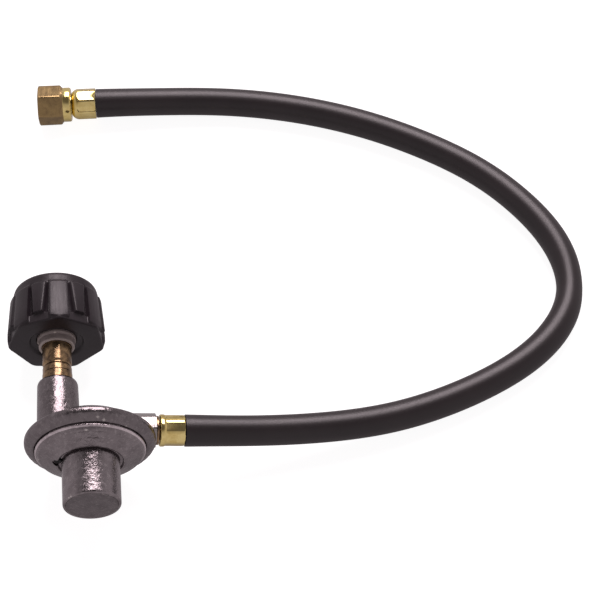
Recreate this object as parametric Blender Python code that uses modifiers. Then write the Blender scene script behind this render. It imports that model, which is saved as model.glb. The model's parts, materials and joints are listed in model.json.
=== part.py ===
"""Propane regulator hose: a hand nut and nipple, a diaphragm regulator, and a hose with a flare nut.

The regulator lies on its rim with its axis along Y: the spring tower points to -Y and the
tank nipple to +Y. The hose leaves towards +X, comes down to the surface and curves back.
Dimensions are in millimetres, and MM turns them into Blender's metres.
"""

from math import cos, pi, radians, sin, sqrt

import bmesh
import bpy
import numpy as np
from mathutils import Matrix, Vector

MM = 0.001
GAP = 0.3  # between pieces that touch

# Regulator: the disc's axis, and the plane of the back of its rim
DISC_X, DISC_Z = -3.3, 32.0
RIM_BACK = -27.3
RIM_R = 32.0
TOWER_R = 14.1
TOWER_END = -36.8  # from the rim's back plane
OUTLET_TILT = 9.0  # degrees below +X
OUTLET_DEPTH = 4.7  # behind the rim's back plane

# Inlet: offset from the disc's axis, and its planes along Y
INLET_DX, INLET_DZ = -15.7, -7.4
BOSS_END = 9.5
NUT_BACK, NUT_MOUTH = 33.1, 62.6
NUT_SIDES = 7
NUT_TURN = 8.5  # degrees, clockwise seen from the tower
NUT_R = 24.6  # at its back end
FLANGE_R = 25.0  # to its corners, which are turned down
NUT_TAPER = 0.08  # radius lost per mm towards the mouth
FLANGE_TOP, RIB_TOP = 5.2, 23.4  # from the nut's back face
THREAD_R = 16.2

# Hose and its fittings
HOSE_R = 7.6
HOSE_START = 46.6  # from the disc's axis along the outlet
FAR_POINT = (4.5, 196.3, 10.8)
FAR_HEADING = 178.5  # degrees in plan
FLARE_FLATS = 19.05
FLARE_TURN = 17.4  # degrees, from straight down
HOSE_ROUTE = [  # between its two ends
    (77.5, -22.0, 18.7),
    (112.5, -20.0, 13.6),
    (146.5, -15.0, 9.9),
    (181.0, -4.5, 7.9),
    (202.9, 5.2, 7.7),
    (233.3, 27.7, 7.7),
    (245.4, 48.3, 7.7),
    (246.6, 75.0, 7.7),
    (229.6, 111.7, 7.7),
    (210.0, 134.0, 7.7),
    (180.5, 156.0, 7.7),
    (146.5, 174.0, 7.7),
    (111.0, 186.5, 7.7),
    (72.5, 194.0, 7.9),
    (40.0, 195.8, 9.2),
]

# Diaphragm and valve
LEVER_REACH = sqrt(INLET_DX**2 + INLET_DZ**2)  # from the stem to the orifice
PIVOT_AT = 12.4  # from the stem
PIN_R, PIN_HOLE_R = 0.8, 1.1
SPRING_TURNS = 6

ZINC = ("zinc", (0.29, 0.27, 0.28), 0.42, 0.7)
BRASS = ("brass", (0.60, 0.42, 0.17), 0.34, 1.0)
BRIGHT_BRASS = ("bright_brass", (0.83, 0.66, 0.25), 0.2, 1.0)
BLACK_PLASTIC = ("black_plastic", (0.028, 0.026, 0.03), 0.42, 0.0)
BUSHING = ("bushing", (0.20, 0.17, 0.16), 0.5, 0.0)
RUBBER = ("rubber", (0.03, 0.028, 0.03), 0.5, 0.0)
STEEL = ("steel", (0.55, 0.55, 0.56), 0.3, 1.0)
SHEET_RUBBER = ("sheet_rubber", (0.06, 0.05, 0.045), 0.7, 0.0)
SCREEN = ("screen", (0.05, 0.05, 0.05), 0.6, 0.3)


def clear_scene():
    for obj in list(bpy.data.objects):
        bpy.data.objects.remove(obj, do_unlink=True)


def new_collection(name):
    collection = bpy.data.collections.new(name)
    bpy.context.scene.collection.children.link(collection)
    return collection


def material(finish):
    name, colour, roughness, metallic = finish
    made = bpy.data.materials.get(name)
    if made is None:
        made = bpy.data.materials.new(name)
        made.use_nodes = True
        shader = made.node_tree.nodes["Principled BSDF"]
        shader.inputs["Base Color"].default_value = (*colour, 1)
        shader.inputs["Roughness"].default_value = roughness
        shader.inputs["Metallic"].default_value = metallic
    return made


def add_object(name, mesh, place, finish=None):
    """A part if it has a finish, else a cutter. `place` is its matrix, with the offset in mm."""
    obj = bpy.data.objects.new(name, mesh)
    (parts if finish else cutters).objects.link(obj)
    obj.matrix_world = Matrix.Translation(place.translation * MM) @ place.to_3x3().to_4x4()
    if finish:
        mesh.materials.append(material(finish))
        mesh.shade_smooth()
        mesh.set_sharp_from_angle(angle=radians(35))
    else:
        obj.hide_render = True
        obj.display_type = "WIRE"
    return obj


# Places: each gives the matrix whose local +Z is the piece's own axis.
def along_y(x, z, y=0.0):
    return Matrix.Translation((x, y, z)) @ Matrix.Rotation(-pi / 2, 4, "X")


def disc_place(y=RIM_BACK):
    """Local z = 0 at the rim's back plane, and +z away from the tower."""
    return along_y(DISC_X, DISC_Z, y)


def inlet_place(y=0.0):
    return along_y(DISC_X + INLET_DX, DISC_Z + INLET_DZ, y)


def outlet_place():
    start = Matrix.Translation((DISC_X, RIM_BACK + OUTLET_DEPTH, DISC_Z))
    return start @ Matrix.Rotation(radians(90 + OUTLET_TILT), 4, "Y")


def far_place():
    turn = Matrix.Rotation(radians(FAR_HEADING), 4, "Z")
    return Matrix.Translation(FAR_POINT) @ turn @ Matrix.Rotation(pi / 2, 4, "Y")


def lever_place(x=0.0):
    """Local +x from the stem to the orifice, +z away from the tower."""
    across = Vector((INLET_DX, 0, INLET_DZ)).normalized()
    up = Vector((0, 1, 0))
    turn = Matrix((across, up.cross(across), up)).transposed().to_4x4()
    return Matrix.Translation((DISC_X, RIM_BACK, DISC_Z)) @ turn @ Matrix.Translation((x, 0, 0))


def turned(name, profile, place, finish=None, steps=36):
    """Profile of (radius, height) running down the outer side. Off the axis it closes into a ring."""
    mesh = bpy.data.meshes.new(name)
    points = [(r * MM, 0, h * MM) for r, h in profile]
    edges = [(i, i + 1) for i in range(len(points) - 1)]
    if profile[0][0] > 0:
        edges.append((len(points) - 1, 0))
    mesh.from_pydata(points, edges, [])
    obj = add_object(name, mesh, place, finish)
    screw = obj.modifiers.new("Screw", "SCREW")
    screw.steps = screw.render_steps = steps
    screw.use_merge_vertices = True
    screw.merge_threshold = 1e-6
    screw.use_smooth_shade = bool(finish)
    return obj


def loft(name, rings, place, finish=None):
    """A closed tube through rings of (height, [(angle, radius), ...]).

    The rings run up the outer side and back down the bore, so the body has an opening.
    """
    build = bmesh.new()
    made = [
        [build.verts.new((r * cos(a) * MM, r * sin(a) * MM, height * MM)) for a, r in ring]
        for height, ring in rings
    ]
    for low, high in zip(made, made[1:] + made[:1]):
        for i in range(len(low)):
            j = (i + 1) % len(low)
            build.faces.new((low[i], low[j], high[j], high[i]))
    mesh = bpy.data.meshes.new(name)
    build.to_mesh(mesh)
    build.free()
    return add_object(name, mesh, place, finish)


def prism(name, radius, sides, low, high, place, finish=None, turn=0.0):
    """A regular prism along local z, from `low` to `high`."""
    build = bmesh.new()
    spin = Matrix.Rotation(radians(turn), 4, "Z")
    lift = Matrix.Translation((0, 0, (low + high) / 2 * MM))
    bmesh.ops.create_cone(
        build,
        cap_ends=True,
        segments=sides,
        radius1=radius * MM,
        radius2=radius * MM,
        depth=(high - low) * MM,
        matrix=lift @ spin,
    )
    mesh = bpy.data.meshes.new(name)
    build.to_mesh(mesh)
    build.free()
    return add_object(name, mesh, place, finish)


def box(name, low, high, place, finish=None):
    size = [b - a for a, b in zip(low, high)]
    centre = [(a + b) / 2 * MM for a, b in zip(low, high)]
    build = bmesh.new()
    scale = Matrix.Diagonal([s * MM for s in size] + [1])
    bmesh.ops.create_cube(build, size=1, matrix=Matrix.Translation(centre) @ scale)
    mesh = bpy.data.meshes.new(name)
    build.to_mesh(mesh)
    build.free()
    return add_object(name, mesh, place, finish)


def boolean(obj, operation, other):
    modifier = obj.modifiers.new(f"{operation.title()} {other.name}", "BOOLEAN")
    modifier.operation = operation
    modifier.object = other


def tube(name, points, radius, finish, resolution=3):
    """A round wire or hose through points in mm, as a capped POLY curve."""
    curve = bpy.data.curves.new(name, "CURVE")
    curve.dimensions = "3D"
    spline = curve.splines.new("POLY")
    spline.points.add(len(points) - 1)
    for point, co in zip(spline.points, points):
        point.co = (*(c * MM for c in co), 1)
    curve.bevel_depth = radius * MM
    curve.bevel_resolution = resolution
    curve.use_fill_caps = True
    curve.materials.append(material(finish))
    obj = bpy.data.objects.new(name, curve)
    parts.objects.link(obj)
    return obj


def ring_section(outer, inner, low, high):
    return [(inner, high), (outer, high), (outer, low), (inner, low)]


def smooth_curve(points, step, start_way, end_way):
    """Cubic spline through the points, read every `step` mm, with its directions at both ends."""
    points = np.array(points)
    gaps = np.linalg.norm(np.diff(points, axis=0), axis=1)
    at = np.concatenate([[0], np.cumsum(gaps)])
    count = len(points)
    matrix = np.zeros((count, count))
    slopes = np.zeros((count, 3))
    matrix[0, 0] = matrix[-1, -1] = 1
    slopes[0], slopes[-1] = start_way, end_way
    for i in range(1, count - 1):
        before, after = gaps[i - 1], gaps[i]
        matrix[i, i - 1 : i + 2] = after, 2 * (before + after), before
        rise = after / before * (points[i] - points[i - 1]) + before / after * (points[i + 1] - points[i])
        slopes[i] = 3 * rise
    slopes = np.linalg.solve(matrix, slopes)
    found = []
    for s in np.linspace(0, at[-1], round(at[-1] / step) + 1):
        i = min(np.searchsorted(at, s, side="right") - 1, count - 2)
        h, t = gaps[i], (s - at[i]) / gaps[i]
        found.append(
            (2 * t**3 - 3 * t**2 + 1) * points[i]
            + (t**3 - 2 * t**2 + t) * h * slopes[i]
            + (3 * t**2 - 2 * t**3) * points[i + 1]
            + (t**3 - t**2) * h * slopes[i + 1]
        )
    return [tuple(float(c) for c in p) for p in found]


def make_regulator_body():
    """Casting: domed back, rim rolled over the bonnet, inlet boss, outlet boss and lever posts."""
    back = [(0, 12), (8, 12), (15, 9.8), (22, 6), (27.5, 1.8), (29.5, 0.4), (31.2, 0)]
    rim = [(RIM_R, -0.8), (RIM_R, -2.9), (31.3, -4.0), (29.5, -5.4), (28.2, -6.4), (27.5, -6.5)]
    front = [(27.4, -6.3), (0, -6.3)]
    body = turned("regulator_body", back + rim + front, disc_place(), ZINC, steps=48)
    boss_top = BOSS_END - RIM_BACK
    shoulder = [(0, boss_top), (9.2, boss_top), (9.9, boss_top - 0.4), (10.15, boss_top - 1.1)]
    boss = turned(
        "inlet_boss", shoulder + [(10.7, 1.0), (0, 1.0)], inlet_place(RIM_BACK), steps=36
    )
    outlet = prism("outlet_boss", 8.66, 8, 6.0, 32.1, outlet_place(), turn=22.5)
    chamber = turned(
        "chamber",
        [(0, 7.4), (12, 7.4), (20, 4.6), (24, 1), (24, -2.2), (28.9, -2.2), (28.9, -5.2)]
        + [(27.2, -5.8), (27.2, -12), (0, -12)],
        disc_place(),
        steps=48,
    )
    posts = [
        box(f"post_{side}", (PIVOT_AT - 2, low, -0.9), (PIVOT_AT + 2, high, 8.2), lever_place())
        for side, low, high in (("a", 3.2, 5.8), ("b", -5.8, -3.2))
    ]
    pin_hole = prism("pin_hole", PIN_HOLE_R, 12, -5.2, 5.2, pin_place())
    seat_pocket = turned("seat_pocket", [(0, 7.6), (4.6, 7.6), (4.6, -1), (0, -1)], inlet_place(RIM_BACK))
    seat_bore = turned("seat_bore", [(0, 13), (3.9, 13), (3.9, 7), (0, 7)], inlet_place(RIM_BACK))
    inlet_bore = turned(
        "inlet_bore",
        [(0, 40), (6.5, 40), (6.5, 23), (3.0, 22), (3.0, 12.5), (0, 12.5)],
        inlet_place(RIM_BACK),
    )
    outlet_bore = turned("outlet_bore", [(0, 40), (6.4, 40), (6.4, 20.5), (0, 20.5)], outlet_place())
    outlet_way = turned("outlet_way", [(0, 22), (2.8, 22), (2.8, 10), (0, 10)], outlet_place())
    for piece in (boss, outlet):
        boolean(body, "UNION", piece)
    boolean(body, "DIFFERENCE", chamber)
    for piece in posts:
        boolean(body, "UNION", piece)
    for cutter in (pin_hole, seat_pocket, seat_bore, inlet_bore, outlet_bore, outlet_way):
        boolean(body, "DIFFERENCE", cutter)


def pin_place():
    """Local z along the lever's pin, which crosses the lever at the pivot."""
    return lever_place(PIVOT_AT) @ Matrix.Translation((0, 0, 0.9)) @ Matrix.Rotation(pi / 2, 4, "X")


def make_bonnet():
    """Cover with the spring tower, a clamped flange and a vent hole."""
    flange = [(24.6, -3.6), (28.6, -3.6), (28.6, -4.9), (26.9, -5.5)]
    face = [(26.9, -7.2), (25.9, -9.2), (25.2, -9.7), (16.2, -13.7), (15.0, -14.5), (TOWER_R, -15.6)]
    tower = [(TOWER_R, TOWER_END + 0.6), (TOWER_R - 0.6, TOWER_END), (12.9, TOWER_END)]
    inside = [(12.9, -34.9), (12.2, -34.9), (12.2, -15.5), (13.5, -12.5), (23, -9), (24.6, -7.6)]
    bonnet = turned("bonnet", flange + face + tower + inside, disc_place(), ZINC, steps=48)
    vent = prism("vent_hole", 2.1, 16, -15.6, -8, disc_place() @ vent_offset())
    boolean(bonnet, "DIFFERENCE", vent)
    turned("tower_cap", [(0, -35.2), (12.6, -35.2), (12.6, -36.6), (0, -36.6)], disc_place(), ZINC)
    prism("vent_screen", 1.75, 12, -12.9, -12.2, disc_place() @ vent_offset(), SCREEN)


def vent_offset():
    """Beside the tower's root, on its left and a little above its axis."""
    return Matrix.Translation((-15.4, -2.4, 0))


def make_pressure_setting():
    """The adjusting screw, the seat it pushes, and the main spring."""
    screw = turned("adjusting_screw", [(0, -30), (11.9, -30), (11.9, -33.6), (0, -33.6)], disc_place(), STEEL)
    socket = prism("screw_socket", 4.0, 6, -35, -31.6, disc_place())
    boolean(screw, "DIFFERENCE", socket)
    turned(
        "spring_button",
        [(0, -27.6), (7.0, -27.6), (7.0, -28.4), (11.6, -28.4), (11.6, -29.7), (0, -29.7)],
        disc_place(),
        STEEL,
    )
    low, high, per_turn = -27.1, -4.9, 14
    steps = SPRING_TURNS * per_turn
    coil = []
    for i in range(steps + 1):
        a = 2 * pi * i / per_turn
        height = RIM_BACK + low + (high - low) * i / steps
        coil.append((DISC_X + 8.9 * cos(a), height, DISC_Z + 8.9 * sin(a)))
    tube("main_spring", coil, 0.8, STEEL, resolution=2)


def make_diaphragm():
    """Rubber sheet with one convolution, its plate, its hooked stem and the nut that clamps them."""
    folds = [(15.6, 0), (17.2, 0.5), (18.4, 1.9), (20, 2.6), (21.6, 2.3), (23.4, 1.3), (24.8, 1.1)]
    outer = [(28.5, -2.5)]
    top = [(2.3, -1.5)] + [(r, -1.5 - rise) for r, rise in folds[:-1]] + [(24.8, -2.5)]
    under = [(28.5, -3.3), (24.4, -3.3)] + [(r, -2.3 - rise) for r, rise in folds[-2::-1]]
    turned("diaphragm", top + outer + under + [(2.3, -2.3)], disc_place(), SHEET_RUBBER, steps=28)
    turned("diaphragm_plate", ring_section(15.0, 2.3, -3.6, -2.6), disc_place(), STEEL, steps=32)
    stem = [(0, 3.3), (2.3, 3.3), (2.3, 2.1), (1.0, 2.1), (1.0, -0.5), (5.0, -0.5), (5.0, -1.2)]
    shank = [(1.9, -1.2), (1.9, -7.4), (0, -7.4)]
    turned("diaphragm_stem", stem + shank, disc_place(), BRASS, steps=24)
    nut = prism("stem_nut", 4.0, 6, -6.4, -3.9, disc_place(), STEEL)
    bore = prism("stem_nut_bore", 2.2, 24, -8, -3, disc_place())
    boolean(nut, "DIFFERENCE", bore)


def make_valve():
    """The lever on its pin, the rubber pad it carries and the orifice seat."""
    place = lever_place(PIVOT_AT)
    reach = LEVER_REACH - PIVOT_AT + 2.6
    lever = box("lever", (-PIVOT_AT - 2.6, -2.4, 0.3), (reach, 2.4, 1.5), place, STEEL)
    knuckle = prism("lever_knuckle", 1.9, 20, -2.4, 2.4, pin_place())
    slot = box("lever_slot", (-18, -1.4, -1), (-PIVOT_AT + 1.6, 1.4, 3), place)
    bore = prism("lever_bore", PIN_HOLE_R, 20, -4, 4, pin_place())
    boolean(lever, "UNION", knuckle)
    boolean(lever, "DIFFERENCE", slot)
    boolean(lever, "DIFFERENCE", bore)
    prism("lever_pin", PIN_R, 16, -4.9, 4.9, pin_place(), STEEL)
    turned(
        "valve_disc",
        [(0, 3.0), (2.5, 3.0), (2.7, 2.8), (2.7, 1.8), (0, 1.8)],
        inlet_place(RIM_BACK),
        SHEET_RUBBER,
        steps=24,
    )
    nozzle = [(0.9, 12), (3.6, 12), (3.6, 7.2), (4.2, 7.2), (4.2, 5.4), (2.6, 5.2), (1.7, 3.8), (0.9, 3.8)]
    turned("orifice_seat", nozzle, inlet_place(RIM_BACK), BRASS, steps=24)


def make_inlet():
    """Nipple with its flow limiter, the thermal bushing and the hand nut that turns on it."""
    shank = [(1.4, -4), (6.2, -4), (6.2, BOSS_END + GAP), (7.0, BOSS_END + GAP)]
    neck = [(7.0, 15.4), (7.45, 15.8), (7.45, 18.2), (6.9, 18.6), (6.9, 20.4), (7.35, 20.8)]
    nose = [(7.35, 41.4), (10.8, 41.4), (10.8, 43.6), (8.4, 44.4), (7.9, 46), (7.9, 55)]
    tip = [(7.3, 57.6), (6.2, 59.4), (5.4, 60), (3.9, 60)]
    bore = [(3.9, 46), (2.2, 44.3), (2.2, 39.6), (1.4, 39.6)]
    upward = shank + neck + nose + tip + bore
    turned("inlet_nipple", upward[::-1], inlet_place(), BRASS, steps=32)
    bushing = [(7.65, 30.15), (8.9, 30.15), (9.3, 30.6), (9.9, 34.0), (9.9, 38.4), (12.6, 38.4), (12.6, 41.1)]
    turned("thermal_bushing", (bushing + [(7.65, 41.1)])[::-1], inlet_place(), BUSHING, steps=32)
    turned("flow_limiter_retainer", ring_section(3.6, 1.5, 52, 53.8), inlet_place(), BRASS, steps=20)
    ball = [(2.6 * sin(pi * i / 10), 49.1 + 2.6 * cos(pi * i / 10)) for i in range(11)]
    turned("flow_limiter_ball", [(0, ball[0][1])] + ball[1:-1] + [(0, ball[-1][1])], inlet_place(), STEEL, 20)
    coil = []
    for i in range(4 * 12 + 1):
        a = 2 * pi * i / 12
        height = 40.2 + (46.0 - 40.2) * i / 48
        coil.append((DISC_X + INLET_DX + 1.6 * cos(a), height, DISC_Z + INLET_DZ + 1.6 * sin(a)))
    tube("flow_limiter_spring", coil, 0.28, STEEL, resolution=1)
    make_coupling_nut()


def nut_ring(height, shape):
    """The hand nut's outline at a height: (angle, radius) pairs.

    The ribbed shape has a wide panel over each corner of the flange and a narrow panel over
    each side, with flutes between them that widen towards the flange. The panelled shape has
    the wide panels only, and the plain one is the seven-sided flange itself.
    """
    radius = NUT_R - NUT_TAPER * max(0, height - FLANGE_TOP)
    climb = max(0, height - FLANGE_TOP) / (RIB_TOP - FLANGE_TOP)
    panel, floor, flank = 11.7, 17.5 - 3.8 * climb, 20.5 - 3.8 * climb
    depth = 2.3 - 1.0 * climb
    step = 360 / NUT_SIDES
    side = [(panel + 0.6, depth), (floor, depth), (flank, 0)]
    turns = [(-panel, 0), (-4, 0), (4, 0), (panel, 0), *side, (step / 2, 0)]
    turns += [(step - turn, drop) for turn, drop in reversed(side)]
    ring = []
    for k in range(NUT_SIDES):
        for turn, drop in turns:
            flat = FLANGE_R * cos(pi / NUT_SIDES) / cos(radians(turn % step - step / 2))
            on_panel = abs(turn) <= panel
            if shape == "ribbed":
                r = radius - drop
            elif shape == "panelled" and on_panel:
                r = radius
            else:
                r = min(flat, FLANGE_R - 0.5)
            ring.append((radians(turn + k * step + NUT_TURN - 90), r))
    return ring


def make_coupling_nut():
    height = NUT_MOUTH - NUT_BACK
    flange = nut_ring(0, "plain")
    inset = [(angle, r - 0.5) for angle, r in flange]

    def circle(h, r):
        return h, [(angle, r) for angle, _ in flange]

    rings = [
        circle(1.8, 10.2),
        circle(1.8, 12.8),
        circle(0, 13.9),
        (0, inset),
        (0.5, flange),
        (0.9, flange),
        (1.6, nut_ring(0, "panelled")),
        (FLANGE_TOP - 0.4, nut_ring(0, "panelled")),
        (FLANGE_TOP, nut_ring(FLANGE_TOP, "ribbed")),
        (RIB_TOP, nut_ring(RIB_TOP, "ribbed")),
        circle(RIB_TOP + 0.7, 21.5),
        circle(height - 0.8, 21.2),
        circle(height, 20.5),
        circle(height, 17.8),
        circle(height - 1.6, THREAD_R),
        circle(5.0, THREAD_R),
        circle(5.0, 10.2),
    ]
    loft("coupling_nut", rings, inlet_place(NUT_BACK), BLACK_PLASTIC)


def make_outlet():
    """Hose stem in the outlet boss, its crimped ferrule, and the hose."""
    outside = [(6.1, 20.8), (6.1, 32.4), (7.2, 32.4), (7.2, 33.4), (4.7, 33.4)]
    barbs = [(4.7, 37), (4.1, 37.2), (4.7, 40), (4.1, 40.2), (4.7, 43), (4.1, 43.2), (4.1, 46.4)]
    stem = [(2.6, 20.8)] + outside + barbs + [(2.6, 46.4)]
    turned("outlet_stem", stem[::-1], outlet_place(), BRASS, steps=24)
    shell = [(5.0, 33.8), (7.6, 33.8), (8.0, 34.2), (8.0, 36.2), (7.7, 36.6), (7.7, 46.3), (5.0, 46.3)]
    turned("near_ferrule", shell[::-1], outlet_place(), BRIGHT_BRASS, steps=32)
    tilt = radians(OUTLET_TILT)
    start = Vector((DISC_X, RIM_BACK + OUTLET_DEPTH, DISC_Z)) + HOSE_START * Vector((cos(tilt), 0, -sin(tilt)))
    heading = radians(FAR_HEADING)
    end_way = Vector((cos(heading), sin(heading), 0))
    end = Vector(FAR_POINT) - GAP * end_way
    route = [tuple(start)] + HOSE_ROUTE + [tuple(end)]
    line = smooth_curve(route, 0.85 * 2 * HOSE_R, (cos(tilt), 0, -sin(tilt)), tuple(end_way))
    tube("hose", line, HOSE_R, RUBBER, resolution=4)


def hex_ring(limit=None):
    """The swivel nut's outline as (angle, radius), with its corners turned down to `limit`."""
    ring = []
    for i in range(48):
        angle = radians(FLARE_TURN) + 2 * pi * i / 48
        from_flat = (2 * pi * i / 48 + pi / 6) % (pi / 3) - pi / 6
        radius = FLARE_FLATS / 2 / cos(from_flat)
        ring.append((angle, min(radius, limit) if limit else radius))
    return ring


def make_far_end():
    """Crimped ferrule, stem with its flare seat, and the swivel nut that turns on it."""
    shell = [(5.0, 0), (8.5, 0), (8.5, 9.6), (8.1, 11), (7.0, 11.9), (5.9, 12.1), (5.0, 12.1)]
    turned("far_ferrule", shell[::-1], far_place(), BRIGHT_BRASS, steps=32)
    barbs = [(4.1, 0.4), (4.1, 3.4), (4.7, 3.6), (4.1, 6.4), (4.7, 6.6), (4.7, 12.4)]
    outside = [(5.5, 12.4), (5.5, 20.0), (6.8, 20.0), (6.8, 25.0)]
    stem = [(2.8, 0.4)] + barbs + outside + [(6.3, 25.4), (5.8, 25.4), (2.8, 22.4)]
    turned("far_stem", stem[::-1], far_place(), BRASS, steps=28)
    spread = [angle for angle, _ in hex_ring()]

    def circle(w, r):
        return w, [(angle, r) for angle in spread]

    rings = [
        circle(13.6, 5.9),
        circle(13.6, 9.0),
        circle(14.0, 9.4),
        (18.6, hex_ring(limit=9.8)),
        (19.4, hex_ring()),
        (31.0, hex_ring()),
        (31.5, hex_ring(limit=10.2)),
        circle(31.5, 8.1),
        circle(30.6, 7.15),
        circle(19.7, 7.15),
        circle(19.7, 5.9),
    ]
    loft("swivel_nut", rings, far_place(), BRASS)


clear_scene()
parts = new_collection("propane_regulator_hose")
cutters = new_collection("cutters")
make_regulator_body()
make_bonnet()
make_pressure_setting()
make_diaphragm()
make_valve()
make_inlet()
make_outlet()
make_far_end()
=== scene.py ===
"""The looks of the propane regulator hose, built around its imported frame.

Shapes are written in millimetres in each piece's own axes, with local z along the piece,
and MM turns them into metres. Places come from the frame's boxes and its record, and the
hose's route is the CAD's own.
"""

import json
from math import asin, atan2, cos, exp, pi, radians, sin

import bmesh
import bpy
import numpy as np
from mathutils import Matrix, Vector


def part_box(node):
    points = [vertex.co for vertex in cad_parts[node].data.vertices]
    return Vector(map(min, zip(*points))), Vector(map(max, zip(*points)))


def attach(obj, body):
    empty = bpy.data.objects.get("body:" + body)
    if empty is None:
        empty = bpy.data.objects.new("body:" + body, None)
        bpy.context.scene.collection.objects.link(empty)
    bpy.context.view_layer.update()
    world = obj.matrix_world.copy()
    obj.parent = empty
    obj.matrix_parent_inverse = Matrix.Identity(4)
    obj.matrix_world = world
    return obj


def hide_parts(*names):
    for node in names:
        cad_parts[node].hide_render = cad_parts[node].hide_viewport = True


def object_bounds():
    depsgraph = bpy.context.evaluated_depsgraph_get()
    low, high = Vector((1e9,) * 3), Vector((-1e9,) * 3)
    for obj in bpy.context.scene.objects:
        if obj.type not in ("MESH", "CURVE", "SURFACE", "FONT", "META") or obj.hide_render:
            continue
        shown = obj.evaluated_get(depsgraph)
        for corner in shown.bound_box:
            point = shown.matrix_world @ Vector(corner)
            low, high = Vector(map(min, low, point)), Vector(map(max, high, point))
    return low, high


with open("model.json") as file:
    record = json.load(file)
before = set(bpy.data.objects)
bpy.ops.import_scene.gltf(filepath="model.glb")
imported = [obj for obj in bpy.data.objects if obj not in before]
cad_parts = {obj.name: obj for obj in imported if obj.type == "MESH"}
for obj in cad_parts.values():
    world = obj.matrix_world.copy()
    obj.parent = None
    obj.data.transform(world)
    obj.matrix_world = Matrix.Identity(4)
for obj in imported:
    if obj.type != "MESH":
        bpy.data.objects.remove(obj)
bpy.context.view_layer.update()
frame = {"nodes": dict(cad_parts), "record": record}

MM = 0.001

# Hose, as in the CAD
HOSE_R = 7.6
HOSE_START = 46.6  # from the disc's axis along the outlet
HOSE_GAP = 0.3  # to the far ferrule's mouth
HOSE_STEP = 3.0  # between the points that the curve is read at
SWELL, SWELL_REACH = 0.045, 40.0  # share of its radius that the rubber swells beside a crimp
PINCH_AT, PINCH_REACH, PINCH = 236.0, 18.0, 0.1  # the tight bend pulls the rubber thinner
# its route between its two ends, in metres
HOSE_ROUTE = [
    (0.0775, -0.0220, 0.0187),
    (0.1125, -0.0200, 0.0136),
    (0.1465, -0.0150, 0.0099),
    (0.1810, -0.0045, 0.0079),
    (0.2029, 0.0052, 0.0077),
    (0.2333, 0.0277, 0.0077),
    (0.2454, 0.0483, 0.0077),
    (0.2466, 0.0750, 0.0077),
    (0.2296, 0.1117, 0.0077),
    (0.2100, 0.1340, 0.0077),
    (0.1805, 0.1560, 0.0077),
    (0.1465, 0.1740, 0.0077),
    (0.1110, 0.1865, 0.0077),
    (0.0725, 0.1940, 0.0079),
    (0.0400, 0.1958, 0.0092),
]

# Regulator
RIM_LIP = 3.6  # from the rim's back plane to the bonnet's flange
TOWER_R = 14.1
TOWER_END = -36.8  # along the disc's axis, from the rim's back plane
BOSS_TOP = 36.8
VENT = (-15.4, -2.4, 0)  # in the disc's own axes
STAKES = 44  # notches pressed into the rolled lip
STAKE_DEPTH = 0.28
STAKED_R, STAKED_H = 28.0, -2.6  # the stakes lie outside this radius and below this height
STAKE_FADE = 1.4
POST_AT = 12.4  # lever posts, from the disc's axis
BOSS_FOOT_R, BOSS_FILLET = 10.6, 2.4
# the dome's (radius, height) from its middle to the rim
DOME = [(0, 12), (8, 12), (15, 9.8), (22, 6), (27.5, 1.8), (29.5, 0.4), (31.2, 0)]

# Hand nut
NUT_SIDES = 7
NUT_TURN = 8.5  # degrees
NUT_R = 24.6
FLANGE_R = 25.0  # to its corners
NUT_TAPER = 0.08  # radius lost per mm towards the mouth
FLANGE_TOP, RIB_TOP, NUT_HEIGHT = 5.2, 23.4, 29.5
THREAD_R = 16.2
THREAD_PITCH = 5.08

# Fittings at the hose's far end
FLARE_FLATS = 19.05
FLARE_TURN = 17.4  # degrees
FLARE_PITCH = 1.411
FAR_SLEEVE = 12.1  # length of the CAD's far ferrule

# Crimps, which fade in over the first length and out over the second
CRIMP_IN, CRIMP_OUT = 0.8, 0.5
CRIMP_CROWN = 0.12  # the middle of each pressed flat stands this proud
CRIMP_FLATS = 8

# Camera and light, in metres and degrees
TARGET = Vector((0.1067, 0.06505, 0.0))
VIEW_DISTANCE = 1.1073
VIEW_ELEVATION, VIEW_YAW = 57.0, 4.7
LENS, SENSOR = 126.6, 36
FLOOR_SIZE = 12
FLOOR_GLOW = 0.9
# the world's grey at each height, from -1 straight down to 1 straight up
SKY = [(-1, 0.3), (-0.75, 0.48), (-0.3, 0.55), (0.35, 0.55), (0.75, 0.4), (0.92, 0.12)]
SKY_TINT = (1, 0.89, 0.93)

# Meshes
SHARP_ANGLE = radians(38)
CORNER_POINTS = 3


def middle(node):
    low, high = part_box(node)
    return (low + high) / 2


def along_y(x, y, z):
    return Matrix.Translation((x, y, z)) @ Matrix.Rotation(-pi / 2, 4, "X")


# Places: matrices whose local z is the piece's own axis
disc = middle("bonnet")
rim_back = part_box("bonnet")[1].y + RIM_LIP * MM
DISC = along_y(disc.x, rim_back, disc.z)
inlet = middle("thermal_bushing")
INLET = along_y(inlet.x, 0, inlet.z)
BOSS = along_y(inlet.x, rim_back, inlet.z)
NUT = along_y(inlet.x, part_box("coupling_nut")[0].y, inlet.z)
near_sleeve = middle("near_ferrule")
outlet_from = Vector((disc.x, near_sleeve.y, disc.z))
outlet_way = (near_sleeve - outlet_from).normalized()
OUTLET = Matrix.Translation(outlet_from) @ Matrix.Rotation(pi / 2 + asin(-outlet_way.z), 4, "Y")
far_way = Vector(
    next(m["axis"] for m in frame["record"]["mounts"] if m["name"] == "appliance_end")
)
far_from = middle("far_ferrule") - FAR_SLEEVE / 2 * MM * far_way
FAR = (
    Matrix.Translation(far_from)
    @ Matrix.Rotation(atan2(far_way.y, far_way.x), 4, "Z")
    @ Matrix.Rotation(pi / 2, 4, "Y")
)


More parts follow.
